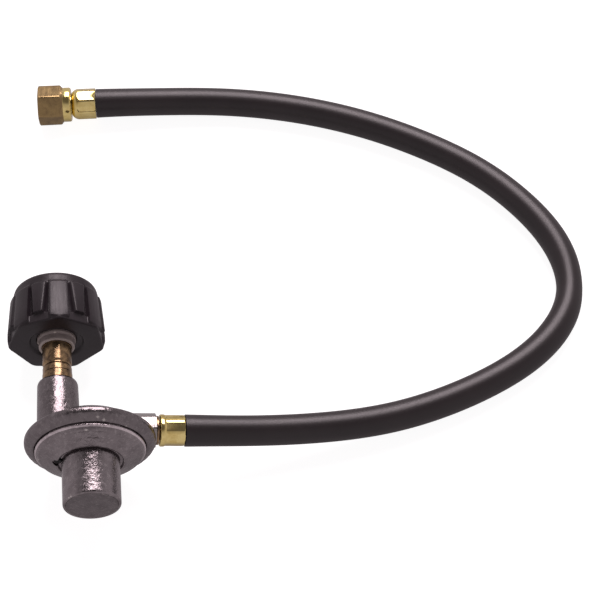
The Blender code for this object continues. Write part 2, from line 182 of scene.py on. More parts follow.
# Materials
class Look:
    """A procedural finish: its node tree, with short calls for what the finishes share."""

    def __init__(self, name, metallic, specular=0.5):
        self.material = bpy.data.materials.new(name)
        self.material.use_nodes = True
        self.tree = self.material.node_tree
        self.shader = self.tree.nodes["Principled BSDF"]
        self.shader.inputs["Metallic"].default_value = metallic
        self.shader.inputs["Specular IOR Level"].default_value = specular
        self.place = self.add("ShaderNodeTexCoord").outputs["Object"]

    def add(self, kind, **settings):
        made = self.tree.nodes.new(kind)
        for key, value in settings.items():
            setattr(made, key, value)
        return made

    def link(self, source, target):
        self.tree.links.new(source, target)

    def stretched(self, scale):
        """Coordinates scaled on each axis, for marks that run one way."""
        mapping = self.add("ShaderNodeMapping")
        mapping.inputs["Scale"].default_value = scale
        self.link(self.place, mapping.inputs["Vector"])
        return mapping.outputs["Vector"]

    def noise(self, scale, detail, rough=0.55, place=None, warp=0.0):
        made = self.add("ShaderNodeTexNoise")
        made.inputs["Scale"].default_value = scale
        made.inputs["Detail"].default_value = detail
        made.inputs["Roughness"].default_value = rough
        made.inputs["Distortion"].default_value = warp
        self.link(place or self.place, made.inputs["Vector"])
        return made.outputs["Fac"]

    def cells(self, scale):
        made = self.add("ShaderNodeTexVoronoi")
        made.inputs["Scale"].default_value = scale
        self.link(self.place, made.inputs["Vector"])
        return made.outputs["Distance"]

    def edges(self, low, high):
        """1 along outer edges and 0 on flats."""
        wear = self.add("ShaderNodeNewGeometry").outputs["Pointiness"]
        return self.ramp(wear, (low, (0, 0, 0)), (high, (1, 1, 1)))

    def ramp(self, source, *stops):
        made = self.add("ShaderNodeValToRGB")
        elements = made.color_ramp.elements
        for element, (at, colour) in zip(elements, stops):
            element.position = at
            element.color = (*colour, 1)
        for at, colour in stops[2:]:
            elements.new(at).color = (*colour, 1)
        self.link(source, made.inputs["Fac"])
        return made.outputs["Color"]

    def span(self, source, low, high, start=0.3, end=0.7):
        """The source's range from start to end, mapped to low..high."""
        made = self.add("ShaderNodeMapRange")
        for key, value in zip(("From Min", "From Max", "To Min", "To Max"), (start, end, low, high)):
            made.inputs[key].default_value = value
        self.link(source, made.inputs["Value"])
        return made.outputs["Result"]

    def mix(self, factor, first, second):
        made = self.add("ShaderNodeMix", data_type="RGBA")
        for value, key in ((factor, 0), (first, 6), (second, 7)):
            if isinstance(value, tuple):
                made.inputs[key].default_value = (*value, 1)
            elif isinstance(value, float):
                made.inputs[key].default_value = value
            else:
                self.link(value, made.inputs[key])
        return made.outputs[2]

    def colour(self, source):
        self.link(source, self.shader.inputs["Base Color"])

    def roughness(self, source):
        self.link(source, self.shader.inputs["Roughness"])

    def bumps(self, *layers):
        """Stacked bump layers of (height, strength, distance in mm)."""
        normal = None
        for height, strength, distance in layers:
            made = self.add("ShaderNodeBump")
            made.inputs["Strength"].default_value = strength
            made.inputs["Distance"].default_value = distance * MM
            self.link(height, made.inputs["Height"])
            if normal:
                self.link(normal, made.inputs["Normal"])
            normal = made.outputs["Normal"]
        self.link(normal, self.shader.inputs["Normal"])


def cast_zinc(name="visual_zinc", shade=1.0):
    """Barrel-finished die casting: cloudy grey with a hammered grain, pits, and edges lightened partly
    as wear and partly as a painted highlight.
    """
    look = Look(name, metallic=1.0)
    cloud = look.noise(170, 5, 0.6)
    grain = look.noise(360, 3, 0.6, warp=0.4)
    flakes = look.noise(620, 3, 0.7)
    pits = look.cells(700)
    # shade above 1 gives lighter copies of this zinc, used as painted light
    dark, light, flake, pit, edge_lightening = (
        tuple(min(1.0, c * shade) for c in colour)
        for colour in (
            (0.15, 0.135, 0.139),
            (0.225, 0.205, 0.21),
            (0.31, 0.29, 0.29),
            (0.10, 0.088, 0.09),
            (0.44, 0.42, 0.40),
        )
    )
    base = look.ramp(cloud, (0.3, dark), (0.7, light))
    base = look.mix(look.ramp(flakes, (0.52, (0, 0, 0)), (0.72, (0.7,) * 3)), base, flake)
    base = look.mix(look.ramp(pits, (0.05, (0.8,) * 3), (0.16, (0,) * 3)), base, pit)
    # lighter edges: partly wear, partly a painted highlight along rims and lips
    base = look.mix(look.edges(0.53, 0.62), base, edge_lightening)
    look.colour(base)
    look.roughness(look.span(flakes, 0.14, 0.32))
    look.bumps((cloud, 0.15, 0.6), (grain, 0.6, 0.55), (flakes, 0.35, 0.2))
    return look.material


def black_plastic():
    look = Look("visual_black_plastic", metallic=0.0, specular=0.38)
    cloud = look.noise(120, 4, 0.6)
    grain = look.noise(1600, 3, 0.6)
    scratches = look.noise(1.0, 3, 0.6, place=look.stretched((900, 900, 60)))
    base = look.ramp(cloud, (0.3, (0.0125, 0.009, 0.0115)), (0.7, (0.02, 0.015, 0.0185)))
    base = look.mix(look.edges(0.55, 0.68), base, (0.045, 0.037, 0.042))
    look.colour(base)
    look.roughness(look.span(scratches, 0.3, 0.44))
    look.bumps((cloud, 0.1, 0.4), (grain, 0.16, 0.05), (scratches, 0.08, 0.04))
    return look.material


def bushing_plastic():
    look = Look("visual_bushing", metallic=0.0)
    cloud = look.noise(260, 5, 0.65)
    grain = look.noise(1900, 3, 0.7)
    base = look.ramp(cloud, (0.3, (0.23, 0.195, 0.182)), (0.7, (0.34, 0.295, 0.28)))
    # lighter rims: a painted highlight on the bushing's rounded edges
    base = look.mix(look.edges(0.508, 0.55), base, (0.62, 0.56, 0.5))
    look.colour(base)
    look.roughness(look.span(grain, 0.32, 0.5))
    look.bumps((cloud, 0.15, 0.2), (grain, 0.2, 0.05))
    return look.material


def turned_brass(name, dark, light, rough, aged, dents=0.1):
    """Lathe-turned brass: fine rings around local z, with tarnish in patches."""
    look = Look(name, metallic=1.0)
    cloud = look.noise(210, 5, 0.6, warp=0.4)
    rings = look.noise(1.0, 4, 0.6, place=look.stretched((60, 60, 2600)))
    grain = look.noise(1500, 3, 0.7)
    base = look.ramp(cloud, (0.32, dark), (0.62, light))
    tarnish = tuple(c * 0.5 for c in dark)
    base = look.mix(look.span(grain, 0.0, aged, 0.5, 0.75), base, tarnish)
    edge_lightening = tuple(min(1, c * 1.3) for c in light)
    base = look.mix(look.span(look.edges(0.52, 0.62), 0, 0.6, 0, 1), base, edge_lightening)
    look.colour(base)
    look.roughness(look.span(rings, rough * 0.75, rough * 1.3))
    look.bumps((cloud, dents, 0.5), (rings, 0.12, 0.06), (grain, 0.08, 0.04))
    return look.material


def hose_rubber():
    look = Look("visual_rubber", metallic=0.0, specular=0.52)
    cloud = look.noise(45, 5, 0.6)
    grain = look.noise(1300, 4, 0.7)
    specks = look.cells(420)
    base = look.ramp(cloud, (0.3, (0.0125, 0.009, 0.0098)), (0.7, (0.019, 0.014, 0.0152)))
    base = look.mix(look.ramp(specks, (0.02, (0.5,) * 3), (0.05, (0,) * 3)), base, (0.06, 0.055, 0.055))
    look.colour(base)
    look.roughness(look.span(grain, 0.33, 0.46))
    look.bumps((cloud, 0.06, 0.8), (grain, 0.14, 0.05))
    return look.material


def sheet_rubber():
    look = Look("visual_sheet_rubber", metallic=0.0)
    cloud = look.noise(300, 4, 0.6)
    weave = look.noise(2200, 3, 0.7)
    look.colour(look.ramp(cloud, (0.3, (0.03, 0.026, 0.023)), (0.7, (0.065, 0.055, 0.048))))
    look.roughness(look.span(weave, 0.55, 0.8))
    look.bumps((weave, 0.3, 0.05))
    return look.material


def plated_steel():
    look = Look("visual_steel", metallic=1.0)
    cloud = look.noise(240, 4, 0.6)
    brushed = look.noise(1.0, 4, 0.6, place=look.stretched((1800, 90, 1800)))
    look.colour(look.ramp(cloud, (0.3, (0.42, 0.42, 0.43)), (0.7, (0.62, 0.62, 0.63))))
    look.roughness(look.span(brushed, 0.2, 0.42))
    look.bumps((brushed, 0.15, 0.05))
    return look.material


def vent_mesh():
    look = Look("visual_screen", metallic=0.0, specular=0.2)
    wires = look.add("ShaderNodeTexVoronoi", distance="CHEBYCHEV")
    wires.inputs["Scale"].default_value = 1700
    wires.inputs["Randomness"].default_value = 0.0
    look.link(look.place, wires.inputs["Vector"])
    weave = wires.outputs["Distance"]
    look.colour(look.ramp(weave, (0.2, (0.003, 0.003, 0.003)), (0.4, (0.02, 0.02, 0.02))))
    look.roughness(look.span(weave, 0.5, 0.7))
    look.bumps((weave, 0.5, 0.15))
    return look.material


LOOKS = {
    "zinc": cast_zinc(),
    # a lighter copy of the zinc: painted light on the bonnet's face and tower
    "painted_light_bonnet_zinc": cast_zinc("visual_painted_light_bonnet_zinc", shade=1.3),
    # much lighter zinc: a painted highlight for the bonnet's edge ring
    "painted_highlight_zinc": cast_zinc("visual_painted_highlight_zinc", shade=3.2),
    "brass": turned_brass(
        "visual_brass", (0.07, 0.05, 0.038), (0.42, 0.29, 0.155), rough=0.2, aged=0.5
    ),
    "nut_brass": turned_brass(
        "visual_nut_brass", (0.28, 0.198, 0.095), (0.43, 0.31, 0.14), rough=0.3, aged=0.25
    ),
    "bright_brass": turned_brass(
        "visual_bright_brass", (0.72, 0.56, 0.19), (0.9, 0.76, 0.32), rough=0.13, aged=0.12, dents=0.12
    ),
    "black_plastic": black_plastic(),
    "bushing": bushing_plastic(),
    "rubber": hose_rubber(),
    "sheet_rubber": sheet_rubber(),
    "steel": plated_steel(),
    "screen": vent_mesh(),
}


# Shapes
def rounded(points, cut, closed=False):
    """The points with every corner cut back by up to `cut` and replaced by a short curve."""
    points = [np.array(p, float) for p in points]
    count = len(points)
    found = []
    for i, corner in enumerate(points):
        if not closed and i in (0, count - 1):
            found.append(corner)
            continue
        before, after = points[i - 1] - corner, points[(i + 1) % count] - corner
        ends = []
        for side in (before, after):
            length = max(np.linalg.norm(side), 1e-9)
            ends.append(corner + side * min(cut, 0.45 * length) / length)
        for k in range(CORNER_POINTS):
            t = k / (CORNER_POINTS - 1)
            found.append((1 - t) ** 2 * ends[0] + 2 * t * (1 - t) * corner + t**2 * ends[1])
    return found


def mesh_of(name, rings, joined):
    """A skin over rings of points in mm. A ring of one point is a pole."""
    build = bmesh.new()
    made = [[build.verts.new(Vector(p) * MM) for p in ring] for ring in rings]
    nexts = made[1:] + made[:1] if joined else made[1:]
    for low, high in zip(made, nexts):
        count = max(len(low), len(high))
        for i in range(count):
            j = (i + 1) % count
            around = (low[i % len(low)], low[j % len(low)], high[j % len(high)], high[i % len(high)])
            corners = list(dict.fromkeys(around))
            if len(corners) > 2:
                build.faces.new(corners)
    bmesh.ops.recalc_face_normals(build, faces=build.faces)
    mesh = bpy.data.meshes.new(name)
    build.to_mesh(mesh)
    build.free()
    return mesh


def dress(obj, look, body, *replaced):
    """Gives a piece its finish and body, and hides the CAD nodes it stands for."""
    obj.data.materials.append(LOOKS[look])
    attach(obj, body)
    if replaced:
        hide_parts(*replaced)
    return obj


def place_mesh(name, mesh, place):
    obj = bpy.data.objects.new(name, mesh)
    bpy.context.scene.collection.objects.link(obj)
    obj.matrix_world = place
    mesh.shade_smooth()
    mesh.set_sharp_from_angle(angle=SHARP_ANGLE)
    return obj


def turned(name, profile, place, steps, cut, shape=None):
    """A turned piece: (radius, height) points, rounded at their corners.

    A profile off the axis closes into a ring. `shape` takes (angle, radius, height) and
    gives the radius and height there, for what isn't quite round.
    """
    ring = profile[0][0] > 0
    rings = []
    for r, h in rounded(profile, cut, closed=ring):
        if r < 1e-6:
            rings.append([(0, 0, h)])
            continue
        points = []
        for i in range(steps):
            a = 2 * pi * i / steps
            radius, height = shape(a, r, h) if shape else (r, h)
            points.append((radius * cos(a), radius * sin(a), height))
        rings.append(points)
    return place_mesh(name, mesh_of(name, rings, ring), place)


def lofted(name, rings, place, cut, across):
    """A closed tube through rings of (height, [(angle, radius), ...]), rounded both ways."""
    around = []
    for height, ring in rings:
        points = [(r * cos(a), r * sin(a), height) for a, r in ring]
        around.append(rounded(points, across, closed=True))
    columns = [rounded(column, cut, closed=True) for column in zip(*around)]
    return place_mesh(name, mesh_of(name, [list(ring) for ring in zip(*columns)], True), place)


def prism(name, sides, flats, low, high, place, turn, cut):
    """A solid bar with `sides` flats and softened edges."""
    corner = flats / 2 / cos(pi / sides)
    flat = [(radians(turn) + 2 * pi * i / sides, corner) for i in range(sides)]
    outline = rounded([(r * cos(a), r * sin(a), 0) for a, r in flat], cut, closed=True)
    profile = rounded([(0, low), (1, low), (1, high), (0, high)], 0.06)
    rings = []
    for share, height in profile:
        if share < 1e-6:
            rings.append([(0, 0, height)])
        else:
            rings.append([(p[0] * share, p[1] * share, height) for p in outline])
    return place_mesh(name, mesh_of(name, rings, False), place)


def carve(obj, *cutters):
    """Cuts the pieces away from obj and removes them."""
    for cutter in cutters:
        modifier = obj.modifiers.new("cut", "BOOLEAN")
        modifier.operation = "DIFFERENCE"
        modifier.object = cutter
    bpy.context.view_layer.update()
    graph = bpy.context.evaluated_depsgraph_get()
    mesh = bpy.data.meshes.new_from_object(obj.evaluated_get(graph))
    obj.modifiers.clear()
    obj.data = mesh
    for cutter in cutters:
        bpy.data.objects.remove(cutter)
    mesh.shade_smooth()
    mesh.set_sharp_from_angle(angle=SHARP_ANGLE)


def block(name, low, high, place, cut):
    """A box between two corners, in mm, with softened edges."""
    outline = [(low[0], low[1]), (high[0], low[1]), (high[0], high[1]), (low[0], high[1])]
    outline = rounded(outline, cut, closed=True)
    centre = (np.array(low[:2]) + np.array(high[:2])) / 2
    rings = [[(*centre, low[2])]]
    for share, height in ((0.8, low[2]), (1.0, low[2] + cut), (1.0, high[2] - cut), (0.8, high[2])):
        rings.append([(*(centre + (p - centre) * share), height) for p in outline])
    rings.append([(*centre, high[2])])
    return place_mesh(name, mesh_of(name, rings, False), place)


# Regulator
def dome_height(r):
    radii, heights = zip(*DOME)
    return float(np.interp(r, radii, heights))


def staked(a, r, h):
    """The lip's outer corner, pressed in at every stake."""
    if h > STAKED_H or r < STAKED_R:
        return r, h
    phase = a * STAKES / (2 * pi) % 1
    press = max(0.0, 1 - abs(phase - 0.5) / 0.3) ** 2
    reach = min(1.0, (STAKED_H - h) / STAKE_FADE) * min(1.0, (r - STAKED_R) / STAKE_FADE)
    return r - STAKE_DEPTH * press * reach, h + STAKE_DEPTH * press * reach


def make_casting():
    rim = [(32.0, -0.8), (32.0, -2.9), (31.3, -4.1), (30.4, -4.9), (29.5, -5.6)]
    lip = [(28.2, -6.45), (27.5, -6.5), (27.1, -6.2), (27.15, -5.8)]
    chamber = [(28.9, -5.2), (28.9, -2.2), (24, -2.2), (24, 1), (20, 4.6), (12, 7.4), (0, 7.4)]
    profile = DOME + rim + lip + chamber
    dish = turned("cast_dish", profile, DISC, STAKES * 7, cut=0.7, shape=staked)
    pocket = turned("seat_pocket", [(0, 7.6), (4.6, 7.6), (4.6, -1), (0, -1)], BOSS, 64, cut=0.01)
    seat_bore = turned("seat_bore", [(0, 14), (3.9, 14), (3.9, 7), (0, 7)], BOSS, 64, cut=0.01)
    carve(dish, pocket, seat_bore)
    dress(dish, "zinc", "regulator", "regulator_body")
    dress(boss_with_fillet(), "zinc", "regulator")
    boss = prism("outlet_hex_boss", 8, 16.0, 12.0, 32.1, OUTLET, turn=22.5, cut=0.7)
    bore = turned("bore", [(0, 40), (6.3, 40), (6.3, 26), (0, 26)], OUTLET, 64, cut=0.4)
    carve(boss, bore)
    dress(boss, "zinc", "regulator")
    make_lever_posts()


def make_lever_posts():
    """The two posts under the dome that hold the lever's pin."""
    along = (inlet - disc) * Vector((1, 0, 1))
    along.normalize()
    away = Vector((0, 1, 0))
    turn = Matrix((along, away.cross(along), away)).transposed().to_4x4()
    place = Matrix.Translation(DISC.translation) @ turn
    pin = Matrix.Translation(middle("lever_pin")) @ turn @ Matrix.Rotation(pi / 2, 4, "X")
    for side, low, high in (("a", 3.2, 5.8), ("b", -5.8, -3.2)):
        corners = (POST_AT - 2, low, -0.9), (POST_AT + 2, high, 8.0)
        post = block(f"lever_post_{side}", *corners, place, cut=0.4)
        carve(post, turned("pin_hole", [(0, 9), (1.1, 9), (1.1, -9), (0, -9)], pin, 32, cut=0.01))
        dress(post, "zinc", "regulator")


def boss_with_fillet():
    """Inlet boss, which runs into the domed back in a cast fillet."""
    offset = Vector((inlet.x - disc.x, 0, inlet.z - disc.z)).length / MM
    # in BOSS's axes the disc's axis lies at this angle
    to_disc = atan2(-(disc.z - inlet.z), disc.x - inlet.x)
    steps = 144
    angles = [2 * pi * i / steps for i in range(steps)]

    def root(a, r, lift):
        """Height of the dome under a point of the boss's foot."""
        x = r * cos(a) - offset * cos(to_disc)
        y = r * sin(a) - offset * sin(to_disc)
        return dome_height((x * x + y * y) ** 0.5) + lift

    def on_dome(r, lift, under):
        """A ring of radius r that follows the dome as it is at the radius under."""
        return [(r * cos(a), r * sin(a), root(a, under, lift)) for a in angles]

    mouth = [(6.45, BOSS_TOP), (8.7, BOSS_TOP), (9.7, BOSS_TOP - 0.5), (10.15, BOSS_TOP - 1.8)]
    wall = rounded([*mouth, (BOSS_FOOT_R, 15.5)], 0.5)
    bore = [(3.0, 16.0), (3.0, 22.5), (6.45, 24.0)]
    made = [[(r * cos(a), r * sin(a), h) for a in angles] for r, h in [*bore, *wall]]
    for k in range(7):
        t = pi / 2 * k / 6
        last = BOSS_FOOT_R + BOSS_FILLET * (1 - cos(t))
        made.append(on_dome(last, BOSS_FILLET * (1 - sin(t)) - 0.25, last))
    made.append(on_dome(last, -1.2, last))
    made.append(on_dome(3.0, -1.2, 3.0))
    return place_mesh("inlet_boss_cast", mesh_of("inlet_boss_cast", made, True), BOSS)


def make_cover():
    """Bonnet, in zinc lightened as painted light, with its edge ring in a much lighter zinc as a
    painted highlight, the groove at the tower's root and the vent.
    """
    flange = [(24.6, -3.6), (28.6, -3.6), (28.6, -4.9), (26.95, -5.6), (26.95, -7.4)]
    shoulder = [(26.4, -8.1), (25.6, -9.2)]
    face = [(25.0, -9.8), (24.2, -10.05), (22.6, -10.9), (20.4, -11.85), (18.6, -12.75), (17.0, -13.7)]
    groove = [(16.3, -13.9), (15.9, -13.5), (15.6, -12.4), (TOWER_R, -12.4)]
    tower = [(TOWER_R, TOWER_END + 0.9), (13.75, TOWER_END + 0.15), (13.1, TOWER_END)]
    bore = [(12.68, TOWER_END), (12.68, -34.9), (12.2, -34.9), (12.2, -12.4)]
    inside = [(13.5, -10.6), (23, -7.8), (24.6, -6.8)]
    outside = flange + shoulder + face + groove + tower
    bonnet = turned("cast_cover", outside + bore + inside, DISC, 240, cut=0.45)
    vent_place = DISC @ Matrix.Translation(Vector(VENT) * MM)
    hole = [(0, -8), (2.1, -8), (2.1, -12.35), (2.9, -12.35), (2.9, -15.0), (0, -15.0)]
    carve(bonnet, turned("vent", hole, vent_place, 64, cut=0.01))
    # the bonnet takes the lighter copy of the zinc, painted light on its face and tower
    dress(bonnet, "painted_light_bonnet_zinc", "regulator", "bonnet")
    # a thin ring in much lighter zinc: a painted highlight along the bonnet's edge
    edge = [(25.8, -7.0), (27.0, -7.0), (27.02, -7.5), (26.45, -8.25), (25.9, -8.3)]
    dress(turned("cover_highlight_edge", edge, DISC, 240, cut=0.2), "painted_highlight_zinc", "regulator")
    cap = [(0, -35.2), (12.62, -35.2), (12.62, TOWER_END + 0.02), (12.2, TOWER_END), (0, TOWER_END)]
    dress(turned("end_plug", cap, DISC, 160, cut=0.15), "zinc", "regulator", "tower_cap")


# Inlet
def make_nipple():
    shank = [(1.4, -4), (6.2, -4), (6.2, 9.8), (7.45, 9.8), (7.5, 10.4), (7.5, 14.2), (7.3, 14.6)]
    neck = [(7.3, 17.8), (6.8, 18.4), (6.8, 19.5), (7.35, 20.1)]
    nose = [(7.35, 41.4), (10.8, 41.4), (10.8, 43.6), (8.4, 44.4), (7.9, 46), (7.9, 49.0)]
    seal = [(7.3, 49.3), (7.3, 51.3), (7.9, 51.6)]
    tip = [(7.9, 55), (7.3, 57.6), (6.2, 59.4), (5.4, 60), (3.9, 60)]
    bore = [(3.9, 46), (2.2, 44.3), (2.2, 39.6), (1.4, 39.6)]
    nipple = turned("brass_nipple", shank + neck + nose + seal + tip + bore, INLET, 128, cut=0.3)
    dress(nipple, "brass", "regulator", "inlet_nipple")
    seal_ring = [(7.35 + 0.5 * cos(t), 50.3 + 0.85 * sin(t)) for t in np.linspace(0, 2 * pi, 17)[:-1]]
    dress(turned("nose_seal", seal_ring, INLET, 96, cut=0.05), "sheet_rubber", "regulator")


def make_bushing():
    front = [(7.65, 30.15), (8.6, 30.15), (9.0, 30.5), (9.15, 31.4), (9.15, 33.6), (9.55, 34.0)]
    flange = [(9.85, 34.5), (9.85, 38.4), (12.6, 38.4), (12.6, 41.1), (7.65, 41.1)]
    bushing = turned("bushing_shell", front + flange, INLET, 128, cut=0.3)
    dress(bushing, "bushing", "regulator", "thermal_bushing")


def nut_ring(height, shape):
    """The hand nut's outline at a height: a wide panel over each corner of the flange."""
    radius = NUT_R - NUT_TAPER * max(0, height - FLANGE_TOP)
    climb = max(0, height - FLANGE_TOP) / (RIB_TOP - FLANGE_TOP)
    panel, floor, flank = 11.7, 17.5 - 3.8 * climb, 20.5 - 3.8 * climb
    depth, root = 2.3 - 1.0 * climb, 3.3 - 1.3 * climb
    step = 360 / NUT_SIDES
    side = [(panel + 0.7, root), ((panel + floor) / 2, root - 0.2), (floor, depth), (flank, 0)]
    turns = [(-panel, 0), (-8, 0), (-4, 0), (0, 0), (4, 0), (8, 0), (panel, 0), *side]
    turns += [((flank + step / 2) / 2, 0), (step / 2, 0), (step - (flank + step / 2) / 2, 0)]
    turns += [(step - turn, drop) for turn, drop in reversed(side)]
    ring = []
    for k in range(NUT_SIDES):
        for turn, drop in turns:
            flat = FLANGE_R * cos(pi / NUT_SIDES) / cos(radians(turn % step - step / 2))
            on_panel = abs(turn) <= panel
            if shape == "ribbed":
                r = radius - drop
            elif shape == "panelled" and on_panel:
                r = radius
            else:
                r = min(flat, FLANGE_R - 0.5)
            ring.append((radians(turn + k * step + NUT_TURN - 90), r))
    return ring


def make_hand_nut():
    flange = nut_ring(0, "plain")
    inset = [(angle, r - 0.6) for angle, r in flange]
    wall = THREAD_R + 0.1

    def circle(height, radius):
        return height, [(angle, radius) for angle, _ in flange]

    rings = [
        circle(1.9, 10.2),
        circle(1.9, 12.8),
        circle(0.1, 13.9),
        circle(0, 15.4),
        (0, inset),
        (0.6, flange),
        (0.9, flange),
        (1.6, nut_ring(0, "panelled")),
        (FLANGE_TOP - 0.4, nut_ring(0, "panelled")),
        (FLANGE_TOP, nut_ring(FLANGE_TOP, "ribbed")),
        (RIB_TOP - 0.5, nut_ring(RIB_TOP - 0.5, "ribbed")),
        circle(RIB_TOP + 0.7, 21.7),
        circle(NUT_HEIGHT - 2.0, 21.4),
        circle(NUT_HEIGHT - 0.4, 20.9),
        circle(NUT_HEIGHT, 20.2),
        circle(NUT_HEIGHT, 17.9),
        circle(NUT_HEIGHT - 1.6, wall),
        circle(5.0, wall),
        circle(5.0, 10.2),
    ]
    nut = lofted("hand_nut", rings, NUT, cut=0.5, across=0.4)
    dress(nut, "black_plastic", "tank_nut", "coupling_nut")
    low, high = 7.0, NUT_HEIGHT - 1.8
    ridge = thread("hand_nut_thread", THREAD_R + 0.15, THREAD_PITCH, low, high, 0.9, NUT, steps=72)
    dress(ridge, "black_plastic", "tank_nut")


def thread(name, radius, pitch, low, high, depth, place, steps):
    """An internal thread: a helical ridge whose section is a blunt wedge, thinned at both ends."""
    turns = (high - low) / pitch
    count = round(turns * steps)
    build = bmesh.new()
    made = []
    for i in range(count + 1):
        a = 2 * pi * i / steps
        h = low + pitch * i / steps
        ends = min(1.0, i / 12, (count - i) / 12)
        rise = max(0.02, depth * ends)
        root, crest = 0.3 * pitch, 0.08 * pitch
        ring = []
        for outward, along in ((0.3, -root), (-rise, -crest), (-rise, crest), (0.3, root)):
            r = radius + outward
            point = Vector((r * cos(a), r * sin(a), h + along * max(0.2, ends)))
            ring.append(build.verts.new(point * MM))
        made.append(ring)
    for low_ring, high_ring in zip(made, made[1:]):
        for i in range(4):
            j = (i + 1) % 4
            build.faces.new((low_ring[i], low_ring[j], high_ring[j], high_ring[i]))
    build.faces.new(made[0])
    build.faces.new(made[-1])
    bmesh.ops.recalc_face_normals(build, faces=build.faces)
    mesh = bpy.data.meshes.new(name)
    build.to_mesh(mesh)
    build.free()
    return place_mesh(name, mesh, place)


# Outlet and hose
def crimped(apothem, start, end, turn):
    """Pressed flats between two heights, run out smoothly at both."""
    half = pi / CRIMP_FLATS

    def shape(a, r, h):
        reach = min(1.0, max(0.0, (h - start) / CRIMP_IN), max(0.0, (end - h) / CRIMP_OUT))
        local = (a - turn + half) % (2 * half) - half
        pressed = min(r, apothem / cos(local) + CRIMP_CROWN * (1 - abs(local) / half))
        return (r + (pressed - r) * reach if r > apothem * 0.8 else r), h

    return shape


def make_outlet():
    collar = [(2.6, 20.8), (6.1, 20.8), (6.1, 32.35), (7.15, 32.35), (7.15, 33.4), (4.7, 33.4)]
    barbs = []
    for h in (37, 40, 43):
        barbs += [(4.7, h), (4.1, h + 0.2)]
    stem = turned("hose_stem", collar + barbs + [(4.1, 46.4), (2.6, 46.4)], OUTLET, 96, cut=0.2)
    dress(stem, "brass", "regulator", "outlet_stem")
    bead = [(5.0, 33.8), (7.3, 33.8), (7.95, 34.3), (7.95, 36.0)]
    skirt = [(7.62, 36.7), (7.62, 45.6), (7.45, 46.3), (5.0, 46.3)]
    pressed = crimped(apothem=7.25, start=36.4, end=46.6, turn=radians(14.5))
    sleeve = turned("near_sleeve", bead + skirt, OUTLET, 192, cut=0.35, shape=pressed)
    dress(sleeve, "bright_brass", "regulator", "near_ferrule")


def smooth_curve(points, step, start_way, end_way):
    """Cubic spline through the points, read every `step`, with its directions at both ends."""
    points = np.array(points)
    gaps = np.linalg.norm(np.diff(points, axis=0), axis=1)
    at = np.concatenate([[0], np.cumsum(gaps)])
    count = len(points)
    matrix = np.zeros((count, count))
    slopes = np.zeros((count, 3))
    matrix[0, 0] = matrix[-1, -1] = 1
    slopes[0], slopes[-1] = start_way, end_way
    for i in range(1, count - 1):
        before, after = gaps[i - 1], gaps[i]
        matrix[i, i - 1 : i + 2] = after, 2 * (before + after), before
        rise = after / before * (points[i] - points[i - 1])
        slopes[i] = 3 * (rise + before / after * (points[i + 1] - points[i]))
    slopes = np.linalg.solve(matrix, slopes)
    found = []
    for s in np.linspace(0, at[-1], round(at[-1] / step) + 1):
        i = min(np.searchsorted(at, s, side="right") - 1, count - 2)
        h, t = gaps[i], (s - at[i]) / gaps[i]
        found.append(
            (2 * t**3 - 3 * t**2 + 1) * points[i]
            + (t**3 - 2 * t**2 + t) * h * slopes[i]
            + (3 * t**2 - 2 * t**3) * points[i + 1]
            + (t**3 - t**2) * h * slopes[i + 1]
        )
    return [Vector(p) for p in found]


def make_hose():
    start = outlet_from + HOSE_START * MM * outlet_way
    end = far_from - HOSE_GAP * MM * far_way
    line = smooth_curve([start, *HOSE_ROUTE, end], HOSE_STEP * MM, outlet_way, far_way)
    curve = bpy.data.curves.new("black_hose", "CURVE")
    curve.dimensions = "3D"
    spline = curve.splines.new("POLY")
    spline.points.add(len(line) - 1)
    for i, (point, co) in enumerate(zip(spline.points, line)):
        point.co = (*co, 1)
        from_end = min(i, len(line) - 1 - i) * HOSE_STEP
        swell = SWELL * max(0.0, 1 - from_end / SWELL_REACH) ** 2
        pinch = PINCH * exp(-(((i * HOSE_STEP - PINCH_AT) / PINCH_REACH) ** 2))
        point.radius = 1 + swell - pinch
    spline.use_smooth = True
    curve.bevel_depth = HOSE_R * MM
    curve.bevel_resolution = 10
    curve.use_fill_caps = True
    hose = bpy.data.objects.new("black_hose", curve)
    bpy.context.scene.collection.objects.link(hose)
    return dress(hose, "rubber", "regulator", "hose")


def hex_ring(limit=None):
    """The swivel nut's outline as (angle, radius), with its corners turned down to `limit`."""
    ring = []
    count = 72
    for i in range(count):
        angle = radians(FLARE_TURN) + 2 * pi * i / count
        from_flat = (2 * pi * i / count + pi / 6) % (pi / 3) - pi / 6
        radius = FLARE_FLATS / 2 / cos(from_flat)
        ring.append((angle, min(radius, limit) if limit else radius))
    return ring


